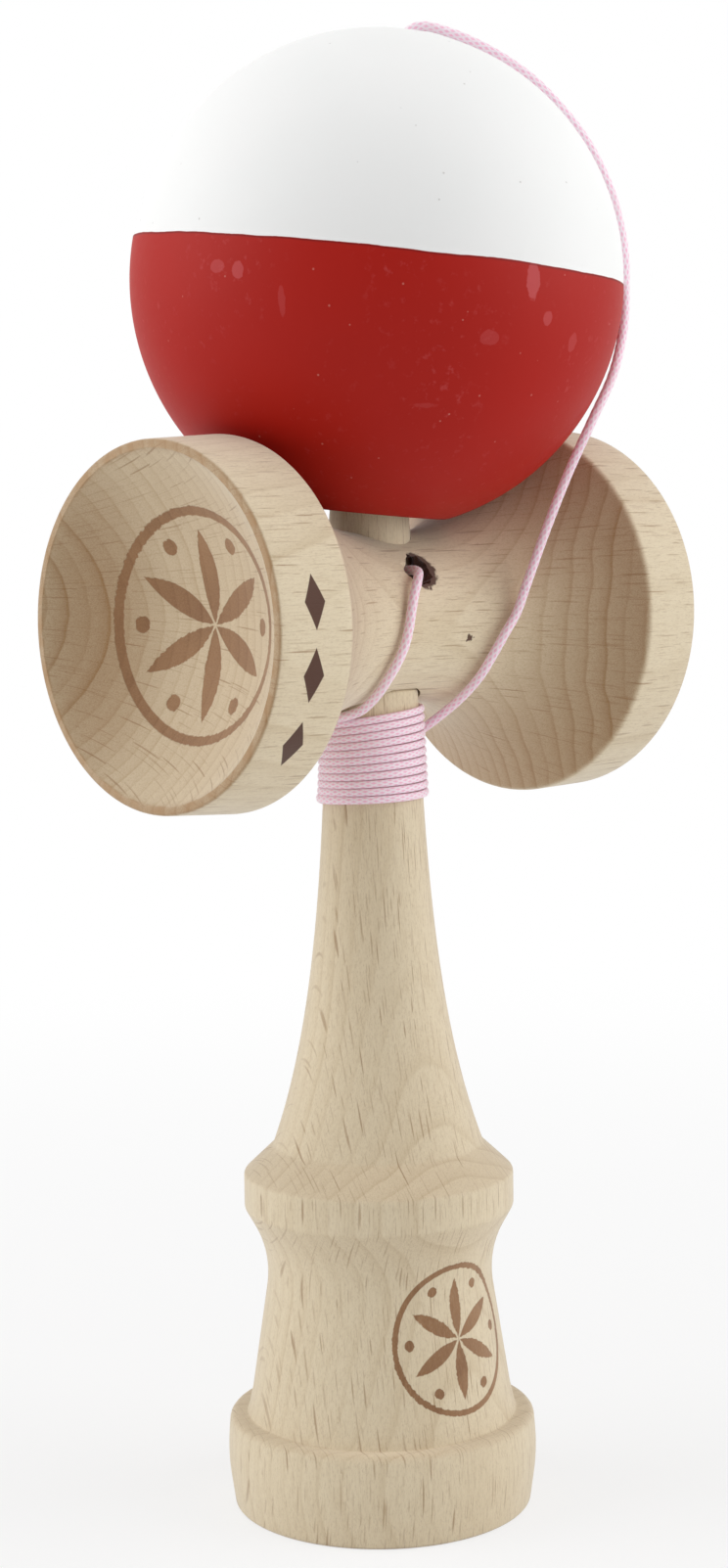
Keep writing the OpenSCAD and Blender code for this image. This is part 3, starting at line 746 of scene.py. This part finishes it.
def cord_finish(wound_from, wound_to):
    """Pink polyester braid: shiny thread tops, fine threads across them, painted light on the plaits' tops
    and painted shade between them, and more painted shade on the sides of the wound turns, between these
    two lengths along the cord, where they lie against each other."""
    material, here = finish_start("pink_braid")
    place = here.node("ShaderNodeUVMap", {"uv_map": "braid"})
    around, along, _ = place.split()
    angle = around * (math.tau * PLAITS)
    twist = along * (math.tau / PLAIT_LENGTH)
    one, two = (angle + twist).math("SINE"), (angle - twist).math("SINE")
    top = one.math("MAXIMUM", two)
    right, left = (angle + twist) * THREADS, (angle - twist) * THREADS
    thread = right.math("SINE").math("MAXIMUM", left.math("SINE"))
    worn = here.noise(0.35, 2.0)
    # Painted light on the plaits' tops and painted shade between them.
    colour = top.step(-0.3, 0.7).mix(BRAID_VALLEY_SHADE, BRAID_TOP_LIGHT)
    colour = (worn.step(0.45, 0.75) * 0.35).mix(colour, BRAID_WORN)
    # Painted shade on the sides of the wound turns, in the gaps where they touch.
    turn_gap_shade = abs((around * math.tau).math("SINE")).step(0.8, 0.97)
    wound = along.step(wound_from, wound_from + WOUND_FADE)
    wound = wound * along.step(wound_to, wound_to - WOUND_FADE)
    turn_gap_shade = (turn_gap_shade * wound * (0.1 + 0.9 * worn)).math("MINIMUM", 1.0)
    colour = turn_gap_shade.mix(colour, BRAID_GAP_SHADE)
    bump = here.node("ShaderNodeBump", None, {
        "Strength": 0.5, "Distance": 0.001, "Height": thread * 0.02 + top * 0.02,
    })
    return finish_end(material, {
        "Base Color": colour,
        "Roughness": 0.62 - 0.12 * top,
        "Normal": bump,
        "Sheen Weight": 0.5,
    })


TURN_POINTS, CROSS_POINTS = 1200, 120
turns = [turn_point(WIND_END * i / TURN_POINTS) for i in range(TURN_POINTS + 1)]
turns += [cross_point(i / CROSS_POINTS) for i in range(1, CROSS_POINTS + 1)]
start_way, end_way = (turns[1] - turns[0]).normalized(), (turns[-1] - turns[-2]).normalized()
turns = [turns[0] - STRAIGHT * start_way] + turns + [turns[-1] + STRAIGHT * end_way]
lead_route = [Vector(p) for p in (
    (0, 5.25, CORD_Z), (0, 0, CORD_Z), (0, -5.5, CORD_Z), (-0.75, -8.8, 116.2), (-2.4, -10.5, 115.2),
    (-3.5, -11, 113.5), (-4.3, -11.3, 111.6), (-4.9, -11.4, 109.5), (-5.5, -11.15, 107.3),
    (-6.2, -10.45, 105.2), (-6.6, -9.5, 103.6), (-6.7, -8.2, 102.1), (-6.5, -6.5, 100.8),
    (-6.3, -4.4, 99.6),
)] + [turns[0] - STRAIGHT_END * start_way, turns[0]]
SPLIT = Vector((13.1, -13.6, 113.7))
run_route = [turns[-1], turns[-1] + STRAIGHT_END * end_way] + [Vector(p) for p in (
    (8, -0.6, 96.3), (9, -3.8, 98.6), (9.3, -6.8, 100.8), (9.6, -9.3, 103.2),
    (10.1, -11, 105.8), (10.9, -12.2, 108.3), (12.44, -12.81, 110.88),
)] + [SPLIT]
lead, run = smooth(lead_route), smooth(run_route)
low_line, low_far = spaced(lead + turns[1:-1] + run, CORD_STEP)
lead_long = spaced(lead, 1)[1][-1]
turns_long = lead_long + spaced(turns, 1)[1][-1]
cord_pink = cord_finish(lead_long, turns_long)
ROUND_HALF, FLAT_OUT, FLAT_SIDE, CROSS_OUT = 0.58, 0.365, 0.475, 0.46
DRAWN_BEFORE, DRAWN_FADE, CROSS_LENGTH, CROSS_FADE, FREE_FADE = 1, 9, 26, 8, 6
LEAD_OUT, RUN_OUT = Vector((-1, 0, 0.3)), Vector((0.9, 0.35, 0.0))
low_halves = np.full((len(low_line), 2), ROUND_HALF)
for i, far in enumerate(low_far):
    over = ease((far - turns_long + CROSS_LENGTH) / CROSS_FADE)
    drawn = ease((far - lead_long + DRAWN_BEFORE) / DRAWN_FADE) * (1 - over)
    crossing = over * (1 - ease((far - turns_long) / FREE_FADE))
    low_halves[i, 0] += (FLAT_OUT - ROUND_HALF) * drawn + (CROSS_OUT - ROUND_HALF) * crossing
    low_halves[i, 1] += (FLAT_SIDE - ROUND_HALF) * drawn
low_out = low_line * (1, 1, 0)
for i, far in enumerate(low_far):
    if far < lead_long:
        low_out[i] = LEAD_OUT
    elif far > turns_long:
        low_out[i] = RUN_OUT
low_out /= np.linalg.norm(low_out, axis=1)[:, None]
BLUR = 41
low_out = np.stack([
    np.convolve(np.pad(low_out[:, k], BLUR // 2, mode="edge"), np.ones(BLUR) / BLUR, mode="valid")
    for k in range(3)
], axis=1)
cord_low = braid("cord_wound", low_line, low_halves, low_out, cord_pink)


def knot(name, middle, axis, material, size=(2.5, 2.1), thick=0.42, steps=180):
    """An overhand knot pulled small, as a closed tube."""
    turn = Vector(axis).to_track_quat("Z", "Y").to_matrix()
    line = []
    for i in range(steps):
        t = math.tau * i / steps
        x = (math.sin(t) + 2 * math.sin(2 * t)) / 3 * (size[0] / 2 - thick)
        y = (math.cos(t) - 2 * math.cos(2 * t)) / 3 * (size[0] / 2 - thick)
        z = -math.sin(3 * t) * (size[1] / 2 - thick)
        line.append(Vector(middle) + turn @ Vector((x, y, z)))
    line.append(line[0])
    line = np.array(line)
    return braid(name, line, np.full((len(line), 2), thick), turn @ Vector((0.3, 0.2, 1)), material)


ANCHOR_Y = 6.45
anchor_knot = knot("cord_anchor_knot", (0, ANCHOR_Y, CORD_Z), (0, 1, 0), cord_pink)
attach(anchor_knot, "sarado")
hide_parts("string_anchor_knot")
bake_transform(cord_low)
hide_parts("string_lead", "string_winding", "string_run")

# The tama: the wooden ball, bored wide for the spike and narrow for the cord, dipped red and then white.
# It leans a little on the spike and rests on the cups' shoulders.

TAMA_R, TAMA_FLAT, TAMA_BORE_R, TAMA_CHAMFER = 29.75, 27.5, 10.75, 0.6
TAMA_CENTRE = Vector((1.0, -0.9, 150.914))
TAMA_LEAN, TAMA_LEAN_SIDE = math.radians(6.7), math.radians(-60)
TAMA_AXIS = Vector((
    math.sin(TAMA_LEAN) * math.cos(TAMA_LEAN_SIDE),
    math.sin(TAMA_LEAN) * math.sin(TAMA_LEAN_SIDE),
    math.cos(TAMA_LEAN),
))
BORE_END, BORE_SHOULDER, TAMA_HOLE_R = 12.1686, 5.7093, 1.5
PAINT_LINE, PAINT_COAT, PAINT_DEPTH = 2.45, 0.05, (25.0 ** 2, 24.0 ** 2)
PAINT_BLUR, SEAM_BELOW, SEAM_EDGE, RUB, RUB_MOST = 0.04, 0.12, (0.22, 0.02), 0.42, 0.6
RED, RED_DEEP, RED_RUBBED, RED_SPECK, RED_EDGE = (
    paint(*c) for c in ((172, 25, 13), (163, 22, 10), (222, 120, 124), (216, 150, 140), (104, 14, 15))
)
WHITE, WHITE_DEEP, WHITE_SPECK, BORE_WOOD = (
    paint(*c) for c in ((248, 248, 247), (244, 245, 244), (176, 172, 168), (206, 184, 150))
)
SCUFFS = (
    ((-3.4, -30.2, 148.7), (1.0, 2.2), 0.75), ((-0.7, -30.0, 144.7), (0.7, 0.9), 0.55),
    ((-28.4, -5.2, 150.9), (1.1, 0.8), 0.45), ((-27.9, -8.0, 150.3), (0.8, 1.1), 0.6),
    ((-8.2, -27.9, 142.4), (1.3, 0.9), 0.3), ((4.4, -29.2, 142.2), (0.8, 1.3), 0.35),
    ((-26.0, -13.0, 146.0), (0.5, 2.6), 0.3), ((-14.0, -24.0, 135.0), (3.0, 0.5), 0.22),
)


def tama_finish():
    """Matt paint over beech: red below, off-white above a slightly wavy line, rubbed spots and specks."""
    material, here = finish_start("tama_paint")
    x, y, z = here.split()
    off = [p - c for p, c in zip((x, y, z), TAMA_CENTRE)]
    up = off[0] * TAMA_AXIS.x + off[1] * TAMA_AXIS.y + off[2] * TAMA_AXIS.z
    reach2 = off[0] * off[0] + off[1] * off[1] + off[2] * off[2]
    wavy = (here.noise(0.06, 2.0) - 0.5) * 0.9 + (here.noise(0.5, 3.0) - 0.5) * 0.16
    line = up + wavy
    white = line.step(PAINT_LINE - PAINT_BLUR, PAINT_LINE + PAINT_BLUR)
    seam = abs(line - (PAINT_LINE - SEAM_BELOW)).step(*SEAM_EDGE)
    cloud, fine = here.noise(0.05, 3.0), here.noise(0.9, 3.0, 0.65)
    red = (cloud.step(0.3, 0.7) * 0.4).mix(RED, RED_DEEP)
    rubbed = (fine.step(0.56, 0.75) * cloud.step(0.42, 0.62)) * 0.16
    for spot, (wide, tall), strength in SCUFFS:
        level = (z - spot[2]) / tall
        across = ((x - spot[0]) ** 2.0 + (y - spot[1]) ** 2.0) / (wide * wide)
        spotted = (across + level * level + (fine - 0.5) * 1.3).step(1.0, 0.75)
        rubbed = rubbed + spotted * strength * RUB
    red = rubbed.math("MINIMUM", RUB_MOST).mix(red, RED_RUBBED)
    grain = here.node("ShaderNodeTexVoronoi", None, {"Vector": here, "Scale": 0.33})
    speck = grain.step(0.055, 0.03)
    red = (speck * 0.4).mix(red, RED_SPECK)
    pale = (cloud.step(0.3, 0.7) * 0.5).mix(WHITE, WHITE_DEEP)
    pale = (speck * 0.45).mix(pale, WHITE_SPECK)
    colour = white.mix((seam * 0.6).mix(red, RED_EDGE), pale)
    colour = reach2.step(*PAINT_DEPTH).mix(colour, BORE_WOOD)
    rise = fine * 0.012 + seam * 0.02
    bump = here.node("ShaderNodeBump", None, {"Strength": 0.35, "Distance": 0.001, "Height": rise})
    return finish_end(material, {
        "Base Color": colour,
        "Roughness": 0.5 + 0.14 * fine,
        "Normal": bump,
        "Specular IOR Level": 0.12,
        "Coat Weight": (1 - white) * 0.12,
        "Coat Roughness": 0.5,
    })


def ball_arc(radius, first, last, count):
    """Outline of the ball between two angles above its middle."""
    angles = np.linspace(first, last, count).tolist()
    return [(radius * math.cos(a), radius * math.sin(a)) for a in angles]


DRILL_POINT, SINK_R, SINK_FLOOR_R, SINK_DEEP, SINK_EDGE = math.radians(59), 3.02, 2.75, 3.0, 0.08
HOLE_EDGE, BORE_EDGE, FLAT_EDGE, FLAT_TURN, PAINT_STEP = (0.15, 0.2), 0.5, 0.25, 0.012, 0.15
hole_low = BORE_END - TAMA_HOLE_R / math.tan(DRILL_POINT)
hole_top = TAMA_R - SINK_DEEP + TAMA_HOLE_R
tama_outline = [(TAMA_HOLE_R, z) for z in np.linspace(hole_top, hole_low, 24).tolist()]
bore_wall = np.linspace(BORE_SHOULDER, -TAMA_FLAT + TAMA_CHAMFER, 40)
tama_outline += [(TAMA_BORE_R, z) for z in bore_wall.tolist()]
flat_r = math.sqrt(TAMA_R * TAMA_R - TAMA_FLAT * TAMA_FLAT)
tama_outline += [(TAMA_BORE_R + BORE_EDGE, -TAMA_FLAT), (flat_r - FLAT_EDGE, -TAMA_FLAT)]
flat_turn = math.asin(-TAMA_FLAT / TAMA_R) + FLAT_TURN
tama_outline += ball_arc(TAMA_R, flat_turn, math.asin(PAINT_LINE / TAMA_R), 90)
WHITE_R = TAMA_R - PAINT_COAT
sink_turn = math.acos(SINK_R / WHITE_R)
tama_outline += ball_arc(WHITE_R, math.asin((PAINT_LINE + PAINT_STEP) / WHITE_R), sink_turn, 100)
tama_outline += [
    (SINK_FLOOR_R, WHITE_R * math.sin(sink_turn) - SINK_EDGE),
    (TAMA_HOLE_R + HOLE_EDGE[0], hole_top + HOLE_EDGE[1]),
    tama_outline[0],
]
tama = turned(
    "tama_ball", tama_outline, sides=160, finish=tama_finish(),
    turn=(0, TAMA_LEAN, TAMA_LEAN_SIDE), place=TAMA_CENTRE,
)
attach(tama, "tama")
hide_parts("tama")

# The bead: a small wooden ball inside the tama. The cord goes over the tama, in at its top and through the
# bead, and a knot under the bead holds it.

BEAD_R, BEAD_HOLE_R, BEAD_AT, KNOT_LOW, KNOT_TOP = 3.2, 0.95, 8.14367, 2.29367, 4.69367


def on_axis(k):
    """The point on the ball's own axis that is k millimetres above its middle."""
    return TAMA_CENTRE + TAMA_AXIS * k


bead_top = math.acos(BEAD_HOLE_R / BEAD_R)
bead_outline = ball_arc(BEAD_R, -bead_top, bead_top, 40)
bead_hole = np.linspace(bead_outline[-1][1], bead_outline[0][1], 12)
bead_outline += [(BEAD_HOLE_R, z) for z in bead_hole[1:].tolist()]
bead_wood = beech("bead_wood", grain=2, pith=(9.0, 60.0), middle=(0.0, 0.0), end_grain=0.25)
bead = turned(
    "bead_turned", bead_outline, sides=64, finish=bead_wood,
    turn=(0, TAMA_LEAN, TAMA_LEAN_SIDE), place=on_axis(BEAD_AT),
)
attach(bead, "string_end")
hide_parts("string_bead")
bead_knot = knot("cord_bead_knot", on_axis((KNOT_LOW + KNOT_TOP) / 2), TAMA_AXIS, cord_pink)
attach(bead_knot, "string_end")
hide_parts("string_bead_knot")
over_route = [SPLIT] + [Vector(p) for p in (
    (14.7, -15.5, 120.5), (16.4, -17.7, 127.4), (18.3, -20, 133.8), (21.2, -20.7, 139),
    (23.5, -20.3, 143.4), (24.8, -19.8, 147), (25.4, -19.4, 150.4), (25.2, -19.5, 153.8),
    (24.7, -19.3, 157.2), (23.4, -18.7, 162), (20.9, -17, 167.8), (17.4, -14.3, 173.1),
    (14, -12, 176.4), (9.9, -9.2, 179.1), (5.9, -6.3, 180.8), (3.9, -4.8, 180.7),
)] + [on_axis(k) for k in (28, 22, BORE_END, KNOT_TOP)]
high_line, high_far = spaced(smooth(over_route), CORD_STEP)
high_halves = np.full((len(high_line), 2), ROUND_HALF)
cord_high = braid(
    "cord_over_tama", high_line, high_halves, RUN_OUT, cord_pink, begin=float(low_far[-1])
)
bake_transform(cord_high)
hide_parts("string_over_tama")

# The table, the light and the camera: a pale table top, soft light from both sides and above, and the
# camera where the photograph was taken from, a little above the cross-piece and towards the small cup.


def seen_rays(tree):
    """1 for rays from the camera, and for the reflections it sees, and 0 for the rays that light things."""
    path = Shade(tree, tree.nodes.new("ShaderNodeLightPath").outputs["Is Camera Ray"])
    seen = path.math("MAXIMUM", path.out("Is Glossy Ray"))
    return seen.math("MAXIMUM", path.out("Is Transmission Ray"))


TABLE_GREY, TABLE_GLOW, TABLE_FADE = (0.86, 0.86, 0.86, 1), 0.7, (0.05, 0.4)


def table_finish():
    material = bpy.data.materials.new("pale_table")
    material.use_nodes = True
    tree = material.node_tree
    tree.nodes.clear()
    seen = seen_rays(tree)
    top = seen.node("ShaderNodeBsdfDiffuse", None, {"Color": TABLE_GREY})
    glow = seen.node("ShaderNodeEmission", None, {"Color": (1, 1, 1, 1), "Strength": 1.0})
    where = seen.node("ShaderNodeTexCoord", out="Object")
    away = seen.node("ShaderNodeVectorMath", {"operation": "LENGTH"}, {0: where}, out="Value")
    share = seen * (TABLE_GLOW + (1 - TABLE_GLOW) * away.step(*TABLE_FADE))
    mixed = seen.node("ShaderNodeMixShader", None, {0: share, 1: top, 2: glow})
    tree.links.new(mixed.socket, tree.nodes.new("ShaderNodeOutputMaterial").inputs["Surface"])
    return material


TABLE_HALF = 6.0
table_mesh = bpy.data.meshes.new("table")
table_corners = [(x * TABLE_HALF, y * TABLE_HALF, 0) for x, y in ((-1, -1), (1, -1), (1, 1), (-1, 1))]
table_mesh.from_pydata(table_corners, [], [(0, 1, 2, 3)])
table_mesh.materials.append(table_finish())
table = plain_object("table", table_mesh)

world = bpy.data.worlds.new("studio")
bpy.context.scene.world = world
world.use_nodes = True
world.node_tree.nodes.clear()
seen = seen_rays(world.node_tree)
AMBIENT = 0.32
glow = seen.node("ShaderNodeBackground", None, {
    "Color": (1, 1, 1, 1), "Strength": seen * (1.0 - AMBIENT) + AMBIENT,
})
sky = world.node_tree.nodes.new("ShaderNodeOutputWorld")
world.node_tree.links.new(glow.socket, sky.inputs["Surface"])

CAMERA_PLACE = Vector((-0.231793, -0.234888, 0.12204))
CAMERA_RIGHT, CAMERA_UP = Vector((0.71301, -0.70099, -0.01494)), Vector((0.07817, 0.0583, 0.99523))
FOCAL_PIXELS, PHOTO_HEIGHT, SENSOR, NEAR_END = 2755.96, 1602, 36, 0.01
LIGHT_AIM = Vector((0, 0, 0.1))
view_back = CAMERA_RIGHT.cross(CAMERA_UP).normalized()


def softbox(name, right, up, back, size, power):
    """A square soft light, placed in metres from the middle of the kendama as the camera sees it."""
    light = bpy.data.lights.new(name, "AREA")
    light.shape, light.size, light.energy = "SQUARE", size, power
    lamp = bpy.data.objects.new(name, light)
    lamp.location = LIGHT_AIM + CAMERA_RIGHT * right + Vector((0, 0, up)) + view_back * back
    lamp.rotation_euler = (LIGHT_AIM - lamp.location).to_track_quat("-Z", "Y").to_euler()
    bpy.context.scene.collection.objects.link(lamp)


softbox("left_softbox", right=-1.1, up=0.45, back=0.15, size=1.2, power=9.8)
softbox("right_softbox", right=1.1, up=0.45, back=0.15, size=1.2, power=9.6)
softbox("top_softbox", right=0, up=1.3, back=0.1, size=1.0, power=4.6)

camera = bpy.data.objects.new("camera", bpy.data.cameras.new("camera"))
camera.data.lens = FOCAL_PIXELS / PHOTO_HEIGHT * SENSOR
camera.data.sensor_width, camera.data.clip_start = SENSOR, NEAR_END
axes = Matrix((CAMERA_RIGHT, CAMERA_UP, view_back)).transposed()
camera.matrix_world = Matrix.Translation(CAMERA_PLACE) @ axes.to_4x4()
bpy.context.scene.collection.objects.link(camera)
bpy.context.scene.camera = camera
bpy.context.scene.view_settings.view_transform = "Standard"
